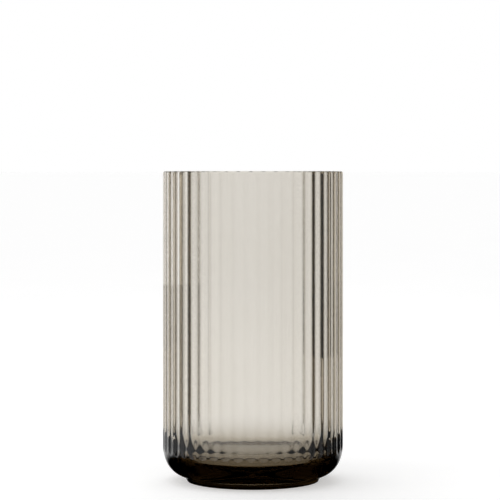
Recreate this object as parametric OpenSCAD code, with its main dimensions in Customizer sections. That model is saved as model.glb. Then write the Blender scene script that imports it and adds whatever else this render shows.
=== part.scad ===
// Heavy glass cylinder vase with fluted sides, a smooth rounded heel and a low round foot.
// The real vase is one unbroken piece of glass. It is drawn here as four named zones of
// that glass, stacked face to face: foot, heavy base, fluted wall and lip.
// Millimetres, +Z up, origin on the table under the centre of the foot.

/* [Overall size] */
// Height from the table to the top of the lip
height = 250; // [200:5:380]
// Width across the ridges between the flutes
outer_d = 146; // [120:2:220]

/* [Wall and lip] */
// Thickness of the glass wall, measured at a ridge
wall_t = 5; // [3.5:0.5:8]
// Radius of the two melted edges of the lip
lip_round = 1.6; // [0.6:0.1:2]

/* [Flutes] */
// Number of hollow flutes around the wall
flute_n = 46; // [30:1:60]
// Depth of each flute at its middle
flute_depth = 1.1; // [0.8:0.1:1.8]
// Width of the narrow ridge left between two flutes
ridge_w = 1; // [0.4:0.1:2]
// Turn of the first flute away from straight front, in degrees
flute_turn = 6.6; // [0:0.1:7.8]

/* [Base] */
// Radius of the rounded heel between the wall and the foot
heel_r = 27; // [20:1:32]
// How much of the heel's roundness is cut off where it lands on the foot
heel_cut = 1.9; // [1:0.1:3]
// Height of the inside floor above the table, at the centre
floor_z = 13.5; // [10:0.5:20]
// Radius of the shallow dish that the floor makes
dish_r = 400; // [200:10:600]
// Radius of the bend between the dished floor and the inside wall
bend_r = 22; // [14:1:26]

/* [Foot] */
// Height of the foot
foot_h = 4.4; // [3:0.2:6]
// Width of the flat ring that rests on the table
foot_w = 8; // [4:0.5:12]
// How much narrower the foot is at the table than at the heel, on each side
foot_draw = 2.1; // [0:0.1:3]
// Depth of the shallow hollow ground into the underside
hollow_depth = 1.2; // [0.4:0.2:2.4]
// Width of the sloping edge of that hollow
hollow_slope = 4; // [1:0.5:8]
// Radius of the softened outer edge at the table
foot_round = 0.6; // [0.2:0.1:1]

/* [Hidden] */

// Roundness of true curves
$fn = 96;

// Outside radius over the ridges, and radius of the smooth inside
outer_r = outer_d / 2;
inner_r = outer_r - wall_t;

// Level where the heel arc meets the straight wall and the flutes reach full depth
heel_top = foot_h + heel_r - heel_cut;
// Radius where the heel arc lands on the foot
foot_top_r = outer_r - heel_r + sqrt(pow(heel_r, 2) - pow(heel_r - heel_cut, 2));
foot_low_r = foot_top_r - foot_draw;
hollow_r = foot_low_r - foot_round - foot_w;

// A flute is the mark of a round-nosed cutter, so its section is part of a circle
flute_step = 360 / flute_n;
ridge_turn = ridge_w / outer_r * 180 / PI;
flute_half = outer_r * sin((flute_step - ridge_turn) / 2);
// Depth of the section below the chord between its two ridges
flute_sink = flute_depth - outer_r + sqrt(pow(outer_r, 2) - pow(flute_half, 2));
cut_r = (pow(flute_half, 2) + pow(flute_sink, 2)) / (2 * flute_sink);
cut_at = outer_r - flute_depth + cut_r;

// Centre of the bend, which touches both the inside wall and the dished floor
bend_x = inner_r - bend_r;
dish_z = floor_z + dish_r;
bend_z = dish_z - sqrt(pow(dish_r - bend_r, 2) - pow(bend_x, 2));
// Point where the dished floor runs into the bend
touch_x = bend_x * dish_r / (dish_r - bend_r);
touch_z = dish_z - (dish_z - bend_z) * dish_r / (dish_r - bend_r);

// The lip edges never take more than the wall has to give
lip_r = min(lip_round, 0.4 * wall_t);
lip_h = 2 * lip_r;
lip_z = height - lip_h;

// Places one cutter for each flute, with the first one turned away from the front
module each_flute() {
    for (i = [0 : flute_n - 1])
        rotate([0, 0, -90 + flute_turn + i * flute_step])
            translate([cut_at, 0, 0])
                children();
}

// Half section of the hollow inside: straight wall, bend and dished floor
module cavity_half() {
    translate([0, bend_z])
        square([inner_r, height - bend_z + 5]);
    translate([bend_x, bend_z])
        circle(r = bend_r);
    translate([0, touch_z])
        square([touch_x, bend_z - touch_z + 1]);
    intersection() {
        translate([0, dish_z])
            circle(r = dish_r, $fn = 256);
        square([touch_x, touch_z + 1]);
    }
}

// The hollow that holds water and stems
module cavity() {
    rotate_extrude()
        cavity_half();
}

// Full round of the wall with every flute taken out of its edge
module fluted_disc() {
    difference() {
        circle(r = outer_r);
        each_flute()
            circle(r = cut_r);
    }
}

// Half section of the shallow hollow ground into the underside
module hollow_half() {
    polygon([
        [-1, -1],
        [hollow_r, -1],
        [hollow_r, 0],
        [hollow_r - hollow_slope, hollow_depth],
        [-1, hollow_depth]
    ]);
}

// Half section of the foot: drawn in towards the table, with a softened outer edge
module foot_half() {
    difference() {
        union() {
            polygon([
                [0, foot_round],
                [foot_low_r, foot_round],
                [foot_top_r, foot_h],
                [0, foot_h]
            ]);
            square([foot_low_r - foot_round, foot_h / 2]);
            translate([foot_low_r - foot_round, foot_round])
                circle(r = foot_round);
        }
        hollow_half();
    }
}

// Low round foot that the vase stands on
module foot() {
    color([0.33, 0.32, 0.27])
        rotate_extrude()
            foot_half();
}

// Smooth rounded heel around the thick floor, with the round ends of the flutes
module heavy_base() {
    color([0.2, 0.19, 0.15])
        difference() {
            rotate_extrude()
                intersection() {
                    union() {
                        square([outer_r - heel_r, heel_top]);
                        translate([outer_r - heel_r, heel_top])
                            circle(r = heel_r);
                    }
                    translate([0, foot_h])
                        square([outer_r + 1, heel_top - foot_h]);
                }
            cavity();
            translate([0, 0, heel_top])
                each_flute()
                    sphere(r = cut_r);
        }
}

// Upright wall with hollow flutes outside and a smooth face inside
module fluted_wall() {
    color([0.82, 0.8, 0.77])
        difference() {
            translate([0, 0, heel_top])
                linear_extrude(height = lip_z - heel_top)
                    fluted_disc();
            cavity();
        }
}

// Half section of the lip: a short wall whose two top edges were melted round
module lip_half() {
    translate([inner_r, 0])
        square([wall_t, lip_h - lip_r]);
    translate([inner_r + lip_r, 0])
        square([wall_t - 2 * lip_r, lip_h]);
    translate([inner_r + lip_r, lip_h - lip_r])
        circle(r = lip_r);
    translate([outer_r - lip_r, lip_h - lip_r])
        circle(r = lip_r);
}

// Rounded lip, with the flutes running out through its edge
module lip() {
    color([0.7, 0.69, 0.65])
        translate([0, 0, lip_z])
            difference() {
                rotate_extrude()
                    lip_half();
                translate([0, 0, -1])
                    each_flute()
                        cylinder(r = cut_r, h = lip_h + 2);
            }
}

foot();
heavy_base();
fluted_wall();
lip();
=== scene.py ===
# %% [markdown]
# # A fluted glass cylinder vase
# The real vase is one heavy piece of smoke-grey glass, blown into a ribbed mould: an upright
# wall with hollow flutes outside, a thick rounded heel and a low round foot. Glass has no
# paint and no seams, so everything the eye reads is shape, thickness and light. This lesson
# builds one closed skin of glass from a half outline and a rule for the flutes, fills it with
# glass that swallows light by the millimetre, and lights it as a studio does.

# %% Load the CAD frame
import math
import bmesh
import bpy
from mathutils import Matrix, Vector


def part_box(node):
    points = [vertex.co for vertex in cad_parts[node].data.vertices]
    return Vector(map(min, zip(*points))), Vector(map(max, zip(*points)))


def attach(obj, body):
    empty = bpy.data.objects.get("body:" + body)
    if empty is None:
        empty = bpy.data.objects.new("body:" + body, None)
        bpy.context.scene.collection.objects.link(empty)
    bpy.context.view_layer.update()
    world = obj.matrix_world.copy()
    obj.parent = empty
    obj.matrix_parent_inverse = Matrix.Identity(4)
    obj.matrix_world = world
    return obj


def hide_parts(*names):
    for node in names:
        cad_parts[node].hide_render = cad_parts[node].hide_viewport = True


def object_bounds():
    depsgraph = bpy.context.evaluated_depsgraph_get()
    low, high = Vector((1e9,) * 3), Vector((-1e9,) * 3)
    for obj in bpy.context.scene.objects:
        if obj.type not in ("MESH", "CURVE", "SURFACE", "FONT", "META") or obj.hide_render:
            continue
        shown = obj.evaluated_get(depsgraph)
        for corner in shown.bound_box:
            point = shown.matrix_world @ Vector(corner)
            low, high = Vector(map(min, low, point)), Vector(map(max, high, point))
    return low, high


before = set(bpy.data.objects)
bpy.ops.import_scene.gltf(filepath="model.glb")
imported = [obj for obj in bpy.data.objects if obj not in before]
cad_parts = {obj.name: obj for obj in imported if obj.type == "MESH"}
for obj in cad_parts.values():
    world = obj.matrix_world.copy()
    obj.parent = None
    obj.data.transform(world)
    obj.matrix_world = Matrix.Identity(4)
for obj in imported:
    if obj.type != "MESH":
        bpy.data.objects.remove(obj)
cad_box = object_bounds()
print("CAD nodes:", len(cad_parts), "box:", cad_box)

# %% [markdown]
# ## Sizes
# The outside sizes come from the frame, so the visible glass always fills the same space as
# the solid part. The height and width are read from its box, and the levels of the foot and
# of the heel from the boxes of those two zones. The small sizes that a box can't tell are
# written once, in metres, in the cell that first needs them.

# %% Sizes of the vase
low, high = cad_box
HEIGHT = high[2] - low[2]
RADIUS = max(high[0], high[1], -low[0], -low[1])
FOOT_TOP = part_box("foot")[1][2]
FOOT_TOP_RADIUS = max(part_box("foot")[1][:2])
HEEL_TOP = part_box("heavy_base")[1][2]
WALL = 0.005
FLUTES = 46
print(f"height {HEIGHT:.4f}, radius {RADIUS:.4f}, heel top {HEEL_TOP:.4f}, foot top {FOOT_TOP:.4f}")

# %% [markdown]
# ## The half outline
# A round vessel is fully described by half of its section: a line from the centre of the
# underside, out over the foot, up the heel and the wall, over the lip and back down inside
# to the centre of the floor. Spinning that line would give a plain vase. The line is made
# from short runs of points, close together where the glass bends and far apart where it is
# straight, so that the curves refract smoothly and no points are wasted.

# %% Two ways to lay points
def corner(cx, cz, rx, rz, start, stop, count, power=2.0):
    """Points round a corner: a power of 2 gives an ellipse, and more is squarer."""
    points = []
    for i in range(count):
        turn = math.radians(start + (stop - start) * i / (count - 1))
        c, s = math.cos(turn), math.sin(turn)
        x = math.copysign(abs(c) ** (2 / power), c)
        z = math.copysign(abs(s) ** (2 / power), s)
        points.append((cx + rx * x, cz + rz * z))
    return points


def straight(a, b, count):
    """Points from a to b, leaving out b."""
    points = []
    for i in range(count):
        points.append((a[0] + (b[0] - a[0]) * i / count, a[1] + (b[1] - a[1]) * i / count))
    return points


print("quarter circle in three points:", corner(0, 0, 1, 1, 0, 90, 3))

# %% [markdown]
# ## Underside and foot
# The vase stands on a narrow ring. Inside the ring the underside is ground into a shallow
# hollow, so that only the ring has to be level. The foot is drawn in towards the table. Both
# are straight runs, with only the outer edge of the ring rounded. A hair, a tenth of a
# millimetre, is left at the ends of a run where the next one starts.

# %% Underside and foot
FOOT_DRAW = 0.0021
RING_WIDTH = 0.0086
RING_EDGE = 0.0006
HOLLOW = 0.0012
HOLLOW_SLOPE = 0.004
HAIR = 0.0001
foot_low = FOOT_TOP_RADIUS - FOOT_DRAW
ring_in = foot_low - RING_WIDTH
outline = straight((0, HOLLOW), (ring_in - HOLLOW_SLOPE, HOLLOW), 8)
outline += straight((ring_in - HOLLOW_SLOPE, HOLLOW), (ring_in, HAIR), 5)
outline += straight((ring_in, HAIR), (ring_in + RING_EDGE, 0), 2)
outline += straight((ring_in + RING_EDGE, 0), (foot_low - RING_EDGE, 0), 4)
outline += corner(foot_low - RING_EDGE, RING_EDGE, RING_EDGE, RING_EDGE, -90, -10, 5)
outline += straight((foot_low, RING_EDGE + HAIR), (FOOT_TOP_RADIUS - 4 * HAIR, FOOT_TOP - 3 * HAIR), 4)
print("points up to the foot's top:", len(outline), "ring", round(ring_in, 4), "to", round(foot_low, 4))

# %% [markdown]
# ## Heel
# The heel is fuller than a plain quarter of an ellipse: it leaves the wall late and turns in
# fast, as thick hot glass does in a mould. So the corner is a superellipse, which has one
# number for how square it is. Only the part of it outside and above the foot is kept, and
# every second point of that.

# %% Heel
HEEL_REACH = 0.0228
HEEL_DROP = 0.0265
HEEL_SQUARENESS = 2.25
HEEL_LIFT = 0.0006
heel = corner(RADIUS - HEEL_REACH, HEEL_TOP + HEEL_LIFT, HEEL_REACH, HEEL_DROP, -90, 0, 90, HEEL_SQUARENESS)
outline += [p for p in heel if p[0] > FOOT_TOP_RADIUS and p[1] > FOOT_TOP - HAIR][::2]
print("points up to the heel's top:", len(outline))

# %% [markdown]
# ## Wall and lip
# The wall is upright, so it needs hardly any points, apart from a few just above the heel,
# where the two meet. The lip is fire-polished: both its edges are melted round.

# %% Wall and lip
LIP = 0.0016
WALL_FROM, WALL_UPRIGHT = HEEL_TOP + 0.0012, HEEL_TOP + 0.004
outline += straight((RADIUS, WALL_FROM), (RADIUS, WALL_UPRIGHT), 4)
outline += straight((RADIUS, WALL_UPRIGHT), (RADIUS, HEIGHT - LIP), 7)
outline += corner(RADIUS - LIP, HEIGHT - LIP, LIP, LIP, 0, 90, 7)
outline += corner(RADIUS - WALL + LIP, HEIGHT - LIP, LIP, LIP, 90, 180, 6)
print("points up to the inner edge of the lip:", len(outline))

# %% [markdown]
# ## Inside
# The inside wall runs down into a wide bend and on into a floor that is slightly dished. The
# floor is part of a large circle, and the bend a small circle that touches both that one and
# the wall, so the glass has no crease anywhere. The place where two such circles touch lies
# on the line through their centres, which gives the level of the bend.

# %% Inside wall, bend and dished floor
BEND, DISH, FLOOR = 0.026, 0.2, 0.0135
FLOOR_STEPS = 8
BASE_LEVEL = 0.07
LIP_END = HEIGHT - LIP - 0.002
inside = RADIUS - WALL
bend_x = inside - BEND
bend_z = FLOOR + DISH - math.sqrt((DISH - BEND) ** 2 - bend_x ** 2)
touch_x = bend_x * DISH / (DISH - BEND)
bend_stop = -math.degrees(math.acos((touch_x - bend_x) / BEND))
outline += straight((inside, LIP_END), (inside, BASE_LEVEL), 6)
outline += straight((inside, BASE_LEVEL), (inside, bend_z), 3)
outline += corner(bend_x, bend_z, BEND, BEND, 0, bend_stop, 24)
for i in range(1, FLOOR_STEPS + 1):
    r = touch_x * (1 - i / FLOOR_STEPS)
    outline.append((r, FLOOR + DISH - math.sqrt(DISH ** 2 - r ** 2)))
print("outline points:", len(outline), "bend level:", round(bend_z, 4))

# %% [markdown]
# ## The flutes, by rule
# On the real vase the mould presses 46 equal hollows into the hot glass, leaving a narrow,
# softened ridge between neighbours, and each hollow ends above the heel in a round nose.
# They could be cut with 46 booleans, but that leaves hard edges and ragged triangles, which
# glass shows at once. Here Geometry Nodes spin the outline into a grid and move each point in
# by the depth of the flute it lies in. The glass surface is the smaller of two radii, the
# outline's and the flute's, and a smooth minimum melts the edge where they meet. The same rule
# makes the round noses and the scallops of the lip, because both are where those radii cross.

# %% Small helpers for node trees
def wire(tree, kind, settings=None, **inputs):
    """Adds a node, sets its options, and fills or links its inputs: i0, i1 by place, others by name."""
    node = tree.nodes.new(kind)
    for key, value in (settings or {}).items():
        setattr(node, key, value)
    for key, value in inputs.items():
        by_place = key[0] == "i" and key[1:].isdigit()
        socket = node.inputs[int(key[1:]) if by_place else key.replace("_", " ")]
        if isinstance(value, bpy.types.NodeSocket):
            tree.links.new(value, socket)
        else:
            socket.default_value = value
    return node


def maths(tree, operation, a, b=0.0, c=0.0):
    """One step of arithmetic, returned as its result socket."""
    return wire(tree, "ShaderNodeMath", {"operation": operation}, i0=a, i1=b, i2=c).outputs[0]


def smooth_step(tree, value, start, stop):
    """A gentle rise from 0 where the value is start to 1 where it is stop."""
    settings = {"interpolation_type": "SMOOTHSTEP"}
    return wire(tree, "ShaderNodeMapRange", settings, Value=value, From_Min=start, From_Max=stop).outputs[0]


# %% Inputs of the vase tree
tree = bpy.data.node_groups.new("Fluted vessel", "GeometryNodeTree")
tree.is_modifier = True
face = tree.interface
face.new_socket("Outline", in_out="INPUT", socket_type="NodeSocketGeometry")
for name, kind, value in (
    ("Flutes", "NodeSocketInt", FLUTES),
    ("Points per flute", "NodeSocketInt", 16),
    ("Radius", "NodeSocketFloat", RADIUS),
    ("Flute depth", "NodeSocketFloat", 0.001),
    ("Flute roundness", "NodeSocketFloat", 1.9),
    ("Ridge softness", "NodeSocketFloat", 0.00025),
    ("Inside wave", "NodeSocketFloat", 0.00055),
    ("Flute foot", "NodeSocketFloat", HEEL_TOP),
    ("Nose length", "NodeSocketFloat", 0.006),
    ("First flute turn", "NodeSocketFloat", math.radians(6.6)),
    ("Depth variation", "NodeSocketFloat", 0.06),
    ("Unevenness", "NodeSocketFloat", 0.00012),
    ("Seed", "NodeSocketInt", 7),
):
    face.new_socket(name, in_out="INPUT", socket_type=kind).default_value = value
face.new_socket("Glass", in_out="INPUT", socket_type="NodeSocketMaterial")
face.new_socket("Vessel", in_out="OUTPUT", socket_type="NodeSocketGeometry")
group_in = tree.nodes.new("NodeGroupInput")
given = {s.name: s for s in group_in.outputs}
print("vase tree inputs:", [n for n in given if n])

# %% [markdown]
# The outline arrives as loose points in order. The tree counts them, makes a flat grid with
# that many rows and one column for every step round the vase, and asks for each grid point
# which row and column it is in. The row picks the radius and level from the outline. The
# column gives the angle, with columns drawn closer together near the ridges, where the
# surface turns fastest.

# %% Rows and columns of the grid
counter = wire(tree, "GeometryNodeAttributeDomainSize", {"component": "MESH"}, Geometry=given["Outline"])
rows = counter.outputs["Point Count"]
steps = maths(tree, "MULTIPLY", given["Flutes"], given["Points per flute"])
columns = maths(tree, "ADD", steps, 1.0)
grid = wire(tree, "GeometryNodeMeshGrid", None, Size_X=1.0, Size_Y=1.0, Vertices_X=columns, Vertices_Y=rows)
index = tree.nodes.new("GeometryNodeInputIndex").outputs[0]
column = maths(tree, "FLOOR", maths(tree, "DIVIDE", maths(tree, "ADD", index, 0.5), rows))
row = maths(tree, "SUBTRACT", index, maths(tree, "MULTIPLY", column, rows))
place = wire(tree, "GeometryNodeSampleIndex", {"data_type": "FLOAT_VECTOR", "domain": "POINT"},
             Geometry=given["Outline"], Index=row)
tree.links.new(tree.nodes.new("GeometryNodeInputPosition").outputs[0], place.inputs["Value"])
spot = wire(tree, "ShaderNodeSeparateXYZ", None, i0=place.outputs[0])
radius, level = spot.outputs["X"], spot.outputs["Z"]
print("grid wired, nodes so far:", len(tree.nodes))

# %% Place of each point within its flute, from -0.5 at one ridge to 0.5 at the next
NUDGE = 0.001
CROWDING = 0.6
per_flute = given["Points per flute"]
flute = maths(tree, "FLOOR", maths(tree, "DIVIDE", maths(tree, "ADD", column, NUDGE), per_flute))
middle = maths(tree, "ADD", flute, 0.5)
even = maths(tree, "SUBTRACT", maths(tree, "DIVIDE", column, per_flute), middle)
swing = maths(tree, "MULTIPLY", maths(tree, "SINE", maths(tree, "MULTIPLY", even, math.pi)), 0.5)
across = maths(tree, "MULTIPLY_ADD", maths(tree, "SUBTRACT", swing, even), CROWDING, even)
pitch = maths(tree, "DIVIDE", math.tau, given["Flutes"])
turned = maths(tree, "ADD", flute, across)
angle = maths(tree, "MULTIPLY_ADD", turned, pitch, given["First flute turn"])
print("columns placed, nodes so far:", len(tree.nodes))

# %% Depth of the flute at each point
side = maths(tree, "MULTIPLY", across, 2.0)
dome = maths(tree, "SUBTRACT", 1.0, maths(tree, "MULTIPLY", side, side))
shape = maths(tree, "POWER", dome, given["Flute roundness"])
fall = maths(tree, "SUBTRACT", given["Flute foot"], level)
below = maths(tree, "MAXIMUM", maths(tree, "DIVIDE", fall, given["Nose length"]), 0.0)
nose = maths(tree, "MULTIPLY", below, below)
lane = maths(tree, "MODULO", flute, given["Flutes"])
least = maths(tree, "MULTIPLY", given["Depth variation"], -1.0)
chance = wire(tree, "FunctionNodeRandomValue", {"data_type": "FLOAT"},
              i2=least, i3=given["Depth variation"], ID=lane, Seed=given["Seed"])
deep = maths(tree, "MULTIPLY", given["Flute depth"], maths(tree, "ADD", chance.outputs[1], 1.0))
cut = maths(tree, "MULTIPLY", deep, maths(tree, "SUBTRACT", shape, nose))
fluted = maths(tree, "SUBTRACT", given["Radius"], cut)
skin = maths(tree, "SMOOTH_MIN", radius, fluted, given["Ridge softness"])
print("flute rule wired, nodes so far:", len(tree.nodes))

# %% [markdown]
# ## Breath in the glass
# The inside isn't quite smooth: over each flute the glass follows the mould a little, so the
# inside wall carries a soft wave of half a millimetre, which grows out of the bend and runs
# up to the lip.
# Mouth-blown glass is also never quite even. The wall swells and thins by a tenth of a
# millimetre in long upright waves, which is why straight things seen through it shiver. A
# noise that is read on a tall, narrow stretch of space gives such waves. It reads the place on
# a circle, so the two ends of the grid meet without a step, and it fades out towards the
# centre of the floor and of the underside, where every column meets in one point.

# %% The wave inside, over each flute
WAVE_FROM, WAVE_FULL = 0.036, 0.052
inner = smooth_step(tree, radius, RADIUS - WALL + LIP, RADIUS - WALL + HAIR)
risen = smooth_step(tree, level, WAVE_FROM, WAVE_FULL)
wave_in = maths(tree, "MULTIPLY", maths(tree, "MULTIPLY", inner, risen), given["Inside wave"])
centred = maths(tree, "SUBTRACT", shape, 0.5)
rippled = maths(tree, "SUBTRACT", skin, maths(tree, "MULTIPLY", centred, wave_in))
print("inside wave wired, nodes so far:", len(tree.nodes))

# %% Slow upright waves
STRETCH = 0.12
CALM_WITHIN, FULL_BEYOND = 0.02, 0.066
OUTSIDE_SHARE = 0.2
sine, cosine = maths(tree, "SINE", angle), maths(tree, "COSINE", angle)
where = wire(tree, "ShaderNodeCombineXYZ", None, X=maths(tree, "MULTIPLY", sine, radius),
             Y=maths(tree, "MULTIPLY", cosine, radius), Z=maths(tree, "MULTIPLY", level, STRETCH))
wave = wire(tree, "ShaderNodeTexNoise", {"noise_dimensions": "4D"}, Vector=where.outputs[0],
            W=given["Seed"], Scale=70.0, Detail=1.5, Roughness=0.5)
swell = maths(tree, "MULTIPLY", maths(tree, "SUBTRACT", wave.outputs[0], 0.5), given["Unevenness"])
fade = smooth_step(tree, radius, CALM_WITHIN, FULL_BEYOND)
share = maths(tree, "MULTIPLY_ADD", inner, 1 - OUTSIDE_SHARE, OUTSIDE_SHARE)
shaken = maths(tree, "MULTIPLY_ADD", maths(tree, "MULTIPLY", swell, fade), share, rippled)
print("unevenness wired, nodes so far:", len(tree.nodes))

# %% From grid to vessel
MERGE = 0.000002
x = maths(tree, "MULTIPLY", shaken, sine)
y = maths(tree, "MULTIPLY", maths(tree, "MULTIPLY", shaken, cosine), -1.0)
ground = wire(tree, "ShaderNodeCombineXYZ", None, X=x, Y=y, Z=level).outputs[0]
spun = wire(tree, "GeometryNodeSetPosition", None, Geometry=grid.outputs["Mesh"], Position=ground)
closed = wire(tree, "GeometryNodeMergeByDistance", None, Geometry=spun.outputs[0], Distance=MERGE)
soft = wire(tree, "GeometryNodeSetShadeSmooth", None, Geometry=closed.outputs[0])
real = wire(tree, "GeometryNodeRealizeInstances", None, Geometry=soft.outputs[0])
dressed = wire(tree, "GeometryNodeSetMaterial", None, Geometry=real.outputs[0], Material=given["Glass"])
group_out = tree.nodes.new("NodeGroupOutput")
tree.links.new(dressed.outputs[0], group_out.inputs["Vessel"])
print("vase tree nodes:", len(tree.nodes))

# %% [markdown]
# ## Smoke glass
# The grey isn't on the surface, it is in the glass: a few millimetres of wall look pale, and
# the same glass looks nearly black along the thick base. Painting the base dark would be
# wrong from every other side. A Volume Absorption inside a clear shell does it as nature
# does, taking a share of each colour for every millimetre the light travels, a little more
# of the blue than of the red, which gives the warm, brownish depth. The skin itself is fully
# polished, and a very weak bump in upright streaks gives it the shiver of hand work.

# %% Glass material
SMOKE_COLOUR = (0.36, 0.27, 0.1)
SMOKE_DENSITY = 62.0


def smoke_glass():
    """Polished clear skin round a body that swallows light."""
    material = bpy.data.materials.new("Smoke glass")
    material.use_nodes = True
    nodes = material.node_tree
    nodes.nodes.clear()
    out = nodes.nodes.new("ShaderNodeOutputMaterial")
    shell = wire(nodes, "ShaderNodeBsdfPrincipled", None,
                 Transmission_Weight=1.0, Roughness=0.0, IOR=1.5, Metallic=0.0)
    here = nodes.nodes.new("ShaderNodeTexCoord").outputs["Object"]
    upright = wire(nodes, "ShaderNodeMapping", None, Vector=here, Scale=(1.0, 1.0, 0.06)).outputs[0]
    streak = wire(nodes, "ShaderNodeTexNoise", None, Vector=upright, Scale=160.0, Detail=2.0, Roughness=0.45)
    cloud = wire(nodes, "ShaderNodeTexNoise", None, Vector=here, Scale=14.0, Detail=2.0, Roughness=0.5)
    bump = wire(nodes, "ShaderNodeBump", None, Strength=0.35, Distance=0.00008, Height=streak.outputs[0])
    nodes.links.new(bump.outputs[0], shell.inputs["Normal"])
    tone = wire(nodes, "ShaderNodeValToRGB", None, Fac=cloud.outputs[0])
    tone.color_ramp.elements[0].position = 0.3
    tone.color_ramp.elements[0].color = (0.985, 0.985, 0.98, 1)
    tone.color_ramp.elements[1].position = 0.7
    tone.color_ramp.elements[1].color = (1, 1, 1, 1)
    nodes.links.new(tone.outputs[0], shell.inputs["Base Color"])
    depth = wire(nodes, "ShaderNodeVolumeAbsorption", None, Color=(*SMOKE_COLOUR, 1), Density=SMOKE_DENSITY)
    nodes.links.new(shell.outputs[0], out.inputs["Surface"])
    nodes.links.new(depth.outputs[0], out.inputs["Volume"])
    return material


glass = smoke_glass()
print("glass takes, per millimetre:", [round(SMOKE_DENSITY * (1 - c) / 1000, 4) for c in SMOKE_COLOUR])

# %% [markdown]
# ## Blowing the vase
# The outline becomes a small mesh of points, the tree runs on it as a modifier, and the
# result is copied out as a plain mesh, so that nothing live is left on the piece. The
# modifier's inputs are set by each socket's identifier, before the first evaluation.

# %% Run the tree
line = bpy.data.meshes.new("half outline")
line.from_pydata([(r, 0.0, z) for r, z in outline], [(i, i + 1) for i in range(len(outline) - 1)], [])
blank = bpy.data.objects.new("half outline", line)
bpy.context.scene.collection.objects.link(blank)
blowing = blank.modifiers.new("Fluted vessel", "NODES")
blowing.node_group = tree
for item in face.items_tree:
    if item.item_type == "SOCKET" and item.in_out == "INPUT" and item.socket_type != "NodeSocketGeometry":
        blowing[item.identifier] = glass if item.name == "Glass" else item.default_value
blank.update_tag()
ready = blank.evaluated_get(bpy.context.evaluated_depsgraph_get())
mesh = bpy.data.meshes.new_from_object(ready)
mesh.name = "vase"
blank.modifiers.clear()
bpy.data.objects.remove(blank)
print("mesh copied out:", len(mesh.vertices), "points")

# %% Turn every face outwards and make it a piece of its own
body = bmesh.new()
body.from_mesh(mesh)
bmesh.ops.recalc_face_normals(body, faces=body.faces)
open_edges = sum(1 for e in body.edges if len(e.link_faces) != 2)
volume = body.calc_volume(signed=True)
if volume < 0:
    bmesh.ops.reverse_faces(body, faces=body.faces)
body.to_mesh(mesh)
body.free()
vase = bpy.data.objects.new("glass_vase", mesh)
bpy.context.scene.collection.objects.link(vase)
triangles = sum(len(p.vertices) - 2 for p in mesh.polygons)
print(f"vase: {triangles} triangles, open edges {open_edges}, glass {abs(volume) * 1e6:.0f} cm3")

# %% [markdown]
# ## Standing in for the solid part
# The solid part keeps the vase as four zones, for mass and for touch. The eye should meet
# one unbroken piece, so this single skin takes the place of all four and rides with them.

# %% Tie the glass to the frame
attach(vase, "root")
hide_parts("foot", "heavy_base", "fluted_wall", "lip")
print("glass tied to the frame")

# %% [markdown]
# ## A table to stand on
# A plain, pale, matt floor. Part of its brightness is its own, as on a lit tabletop of milk
# glass, which keeps the ground behind the vase about as white as the air above. It reaches to
# the horizon, because the glass would show the far edge of a smaller one under the lip.
# It is left out of mirror reflections, as if a black card lay round the foot: without that
# the heel would show a pale glare that hides how deep the glass is.

# %% Floor
FLOOR_REACH = 400
FLOOR_SINK = 0.0002
FLOOR_GLOW = 0.44


def pale_floor():
    """Matt pale paint with a faint cloud in it and some light of its own."""
    material = bpy.data.materials.new("Pale tabletop")
    material.use_nodes = True
    nodes = material.node_tree
    shader = nodes.nodes["Principled BSDF"]
    here = nodes.nodes.new("ShaderNodeTexCoord").outputs["Object"]
    grain = wire(nodes, "ShaderNodeTexNoise", None, Vector=here, Scale=3.0, Detail=3.0)
    tone = wire(nodes, "ShaderNodeValToRGB", None, Fac=grain.outputs[0])
    tone.color_ramp.elements[0].color = (0.83, 0.83, 0.83, 1)
    tone.color_ramp.elements[1].color = (0.87, 0.87, 0.87, 1)
    nodes.links.new(tone.outputs[0], shader.inputs["Base Color"])
    shader.inputs["Roughness"].default_value = 1.0
    shader.inputs["Specular IOR Level"].default_value = 0.0
    shader.inputs["Emission Color"].default_value = (1, 1, 1, 1)
    shader.inputs["Emission Strength"].default_value = FLOOR_GLOW
    return material


corners = [(x * FLOOR_REACH, y * FLOOR_REACH, 0) for x, y in ((-1, -1), (1, -1), (1, 1), (-1, 1))]
ground_mesh = bpy.data.meshes.new("tabletop")
ground_mesh.from_pydata(corners, [], [(0, 1, 2, 3)])
ground_mesh.materials.append(pale_floor())
tabletop = bpy.data.objects.new("tabletop", ground_mesh)
tabletop.location.z = -FLOOR_SINK
tabletop.visible_glossy = False
bpy.context.scene.collection.objects.link(tabletop)
print("floor laid, half width:", FLOOR_REACH)

# %% [markdown]
# ## Bright-field light
# Glass is lit from behind. A bright wall behind the vase shines through the glass, and what
# stands at both sides is bent into its flutes, where it draws the thin upright lines that
# give clear glass its outline. A studio may put a bright panel at one side and a black card
# at the other, so that one flank sparkles and the other gets deep, dark lines. The room is
# painted as a World that depends only on the direction, with plain white for the eye. It
# fades to black well below the horizon, which only mirror reflections in the heel can reach.

# %% Room round the vase
ROOM = (  # bearing in degrees from straight behind, to the right, and the brightness there
    (-180, 0.55),
    (-140, 0.8),
    (-104, 1.0),
    (-92, 0.7),
    (-74, 0.3),
    (-64, 1.0),
    (20, 1.0),
    (26, 0.6),
    (40, 0.6),
    (44, 0.02),
    (76, 0.02),
    (84, 0.3),
    (100, 0.3),
    (106, 0.7),
    (130, 0.4),
    (180, 0.55),
)
DARK_BELOW, LIT_ABOVE = -0.3, -0.17


def grey_ramp(ramp, stops):
    """Sets a ramp's stops from pairs of a place, 0 to 1, and a brightness."""
    for stop, (place_on, value) in ((ramp.elements[0], stops[0]), (ramp.elements[-1], stops[-1])):
        stop.position = place_on
        stop.color = (value, value, value, 1)
    for place_on, value in stops[1:-1]:
        ramp.elements.new(place_on).color = (value, value, value, 1)


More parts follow.
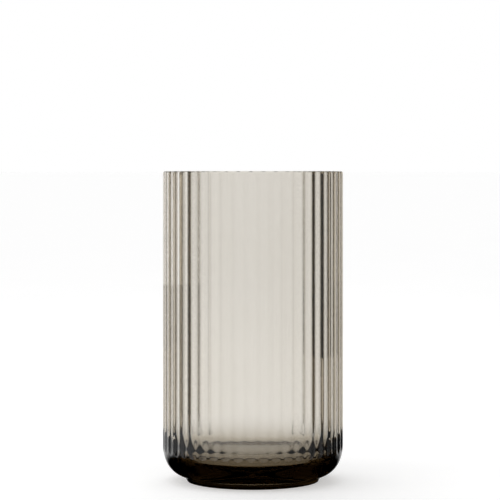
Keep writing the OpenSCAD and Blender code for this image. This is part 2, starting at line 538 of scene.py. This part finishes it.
world = bpy.data.worlds.new("Studio")
bpy.context.scene.world = world
world.use_nodes = True
room = world.node_tree
room.nodes.clear()
direction = room.nodes.new("ShaderNodeTexCoord").outputs["Generated"]
looking = wire(room, "ShaderNodeSeparateXYZ", None, i0=direction)
compass = maths(room, "ARCTAN2", looking.outputs["X"], looking.outputs["Y"])
bearing = maths(room, "MULTIPLY_ADD", compass, 0.5 / math.pi, 0.5)
walls = wire(room, "ShaderNodeValToRGB", None, Fac=bearing)
grey_ramp(walls.color_ramp, [(0.5 + degrees / 360, value) for degrees, value in ROOM])
above = smooth_step(room, looking.outputs["Z"], DARK_BELOW, LIT_ABOVE)
seen = room.nodes.new("ShaderNodeLightPath").outputs["Is Camera Ray"]
glow = maths(room, "MAXIMUM", maths(room, "MULTIPLY", walls.outputs[0], above), seen)
backing = wire(room, "ShaderNodeBackground", None, Color=(1, 1, 1, 1), Strength=glow)
wire(room, "ShaderNodeOutputWorld", None, Surface=backing.outputs[0])
print("room stops:", len(walls.color_ramp.elements), "straight behind:", walls.color_ramp.evaluate(0.5)[0])

# %% [markdown]
# ## Panel and cards
# Three upright sheets stand beyond the view, behind the vase and to its sides. They are made
# to be met only in the glass: the eye, the shadows and the matt floor pass them by. Being
# real sheets at a real distance, they end at a level, and so do their lines in the flutes.

# %% Panels that only the glass meets
SHEET_TOP = 1.2


def panel(name, bearing_from, bearing_to, distance, bottom, brightness):
    """An upright sheet between two bearings, seen from the vase, in degrees from straight behind."""
    sheet = bpy.data.meshes.new(name)
    corners = []
    for z in (bottom, SHEET_TOP):
        for side_bearing in (bearing_from, bearing_to):
            turn = math.radians(side_bearing)
            corners.append((distance * math.sin(turn), distance * math.cos(turn), z))
    sheet.from_pydata(corners, [], [(0, 1, 3, 2)])
    paint = bpy.data.materials.new(name)
    paint.use_nodes = True
    shader = paint.node_tree.nodes["Principled BSDF"]
    shader.inputs["Base Color"].default_value = (0.01, 0.01, 0.01, 1)
    shader.inputs["Specular IOR Level"].default_value = 0.0
    shader.inputs["Roughness"].default_value = 1.0
    shader.inputs["Emission Color"].default_value = (1, 1, 1, 1)
    shader.inputs["Emission Strength"].default_value = brightness
    sheet.materials.append(paint)
    board = bpy.data.objects.new(name, sheet)
    board.visible_camera = False
    board.visible_shadow = False
    board.visible_diffuse = False
    bpy.context.scene.collection.objects.link(board)
    print(f"{name}: bearings {bearing_from} to {bearing_to}, brightness {brightness}")


panel("black_card", 42, 78, 1.2, 0.0, 0.0)
panel("bright_panel", -66, -38, 1.0, 0.107, 1.9)
panel("side_card", -88, -72, 0.8, 0.0, 0.1)

# %% [markdown]
# ## Soft light from above
# The room alone lights the table almost evenly. One large, weak softbox overhead adds a soft
# fall of light round the foot, so that the vase sits on the table.

# %% Overhead softbox
def softbox(name, where, aim, size, power):
    """A square or oblong lamp that faces the point it aims at."""
    lamp = bpy.data.lights.new(name, "AREA")
    lamp.shape = "RECTANGLE"
    lamp.size, lamp.size_y = size
    lamp.energy = power
    stand = bpy.data.objects.new(name, lamp)
    stand.location = where
    away_x, away_y, drop = aim[0] - where[0], aim[1] - where[1], where[2] - aim[2]
    stand.rotation_euler = (math.atan2(math.hypot(away_x, away_y), drop), 0, math.atan2(-away_x, away_y))
    bpy.context.scene.collection.objects.link(stand)
    print(f"{name}: {power} W at {where}")


softbox("overhead softbox", (0, 0.4, 1.7), (0, 0.05, 0), (1.8, 1.8), 4)

# %% [markdown]
# ## Camera
# A long lens, level with the lip, so that the rim is seen edge-on as a single straight line
# and the uprights stay parallel. The frame is slid down instead of the camera being tilted.

# %% Camera
DISTANCE = 1.65
lens = bpy.data.cameras.new("camera")
camera = bpy.data.objects.new("camera", lens)
camera.location = (0, -DISTANCE, HEIGHT)
camera.rotation_euler = (math.pi / 2, 0, 0)
lens.sensor_width = 36
lens.lens = 146.65
lens.shift_x = -0.0058
lens.shift_y = -0.1578
lens.dof.use_dof = False
bpy.context.scene.collection.objects.link(camera)
bpy.context.scene.camera = camera
print("camera at", tuple(camera.location), "lens", round(lens.lens, 2))

# %% [markdown]
# ## How light is followed
# A ray crosses four glass skins on its way through the vase and may bounce many times inside
# the thick base. With too few bounces the base would turn black for the wrong reason.

# %% Bounces and view
scene = bpy.context.scene
scene.view_settings.view_transform = "Standard"
scene.cycles.max_bounces = 28
scene.cycles.transmission_bounces = 28
scene.cycles.glossy_bounces = 16
scene.cycles.transparent_max_bounces = 16
print("bounces:", scene.cycles.max_bounces)
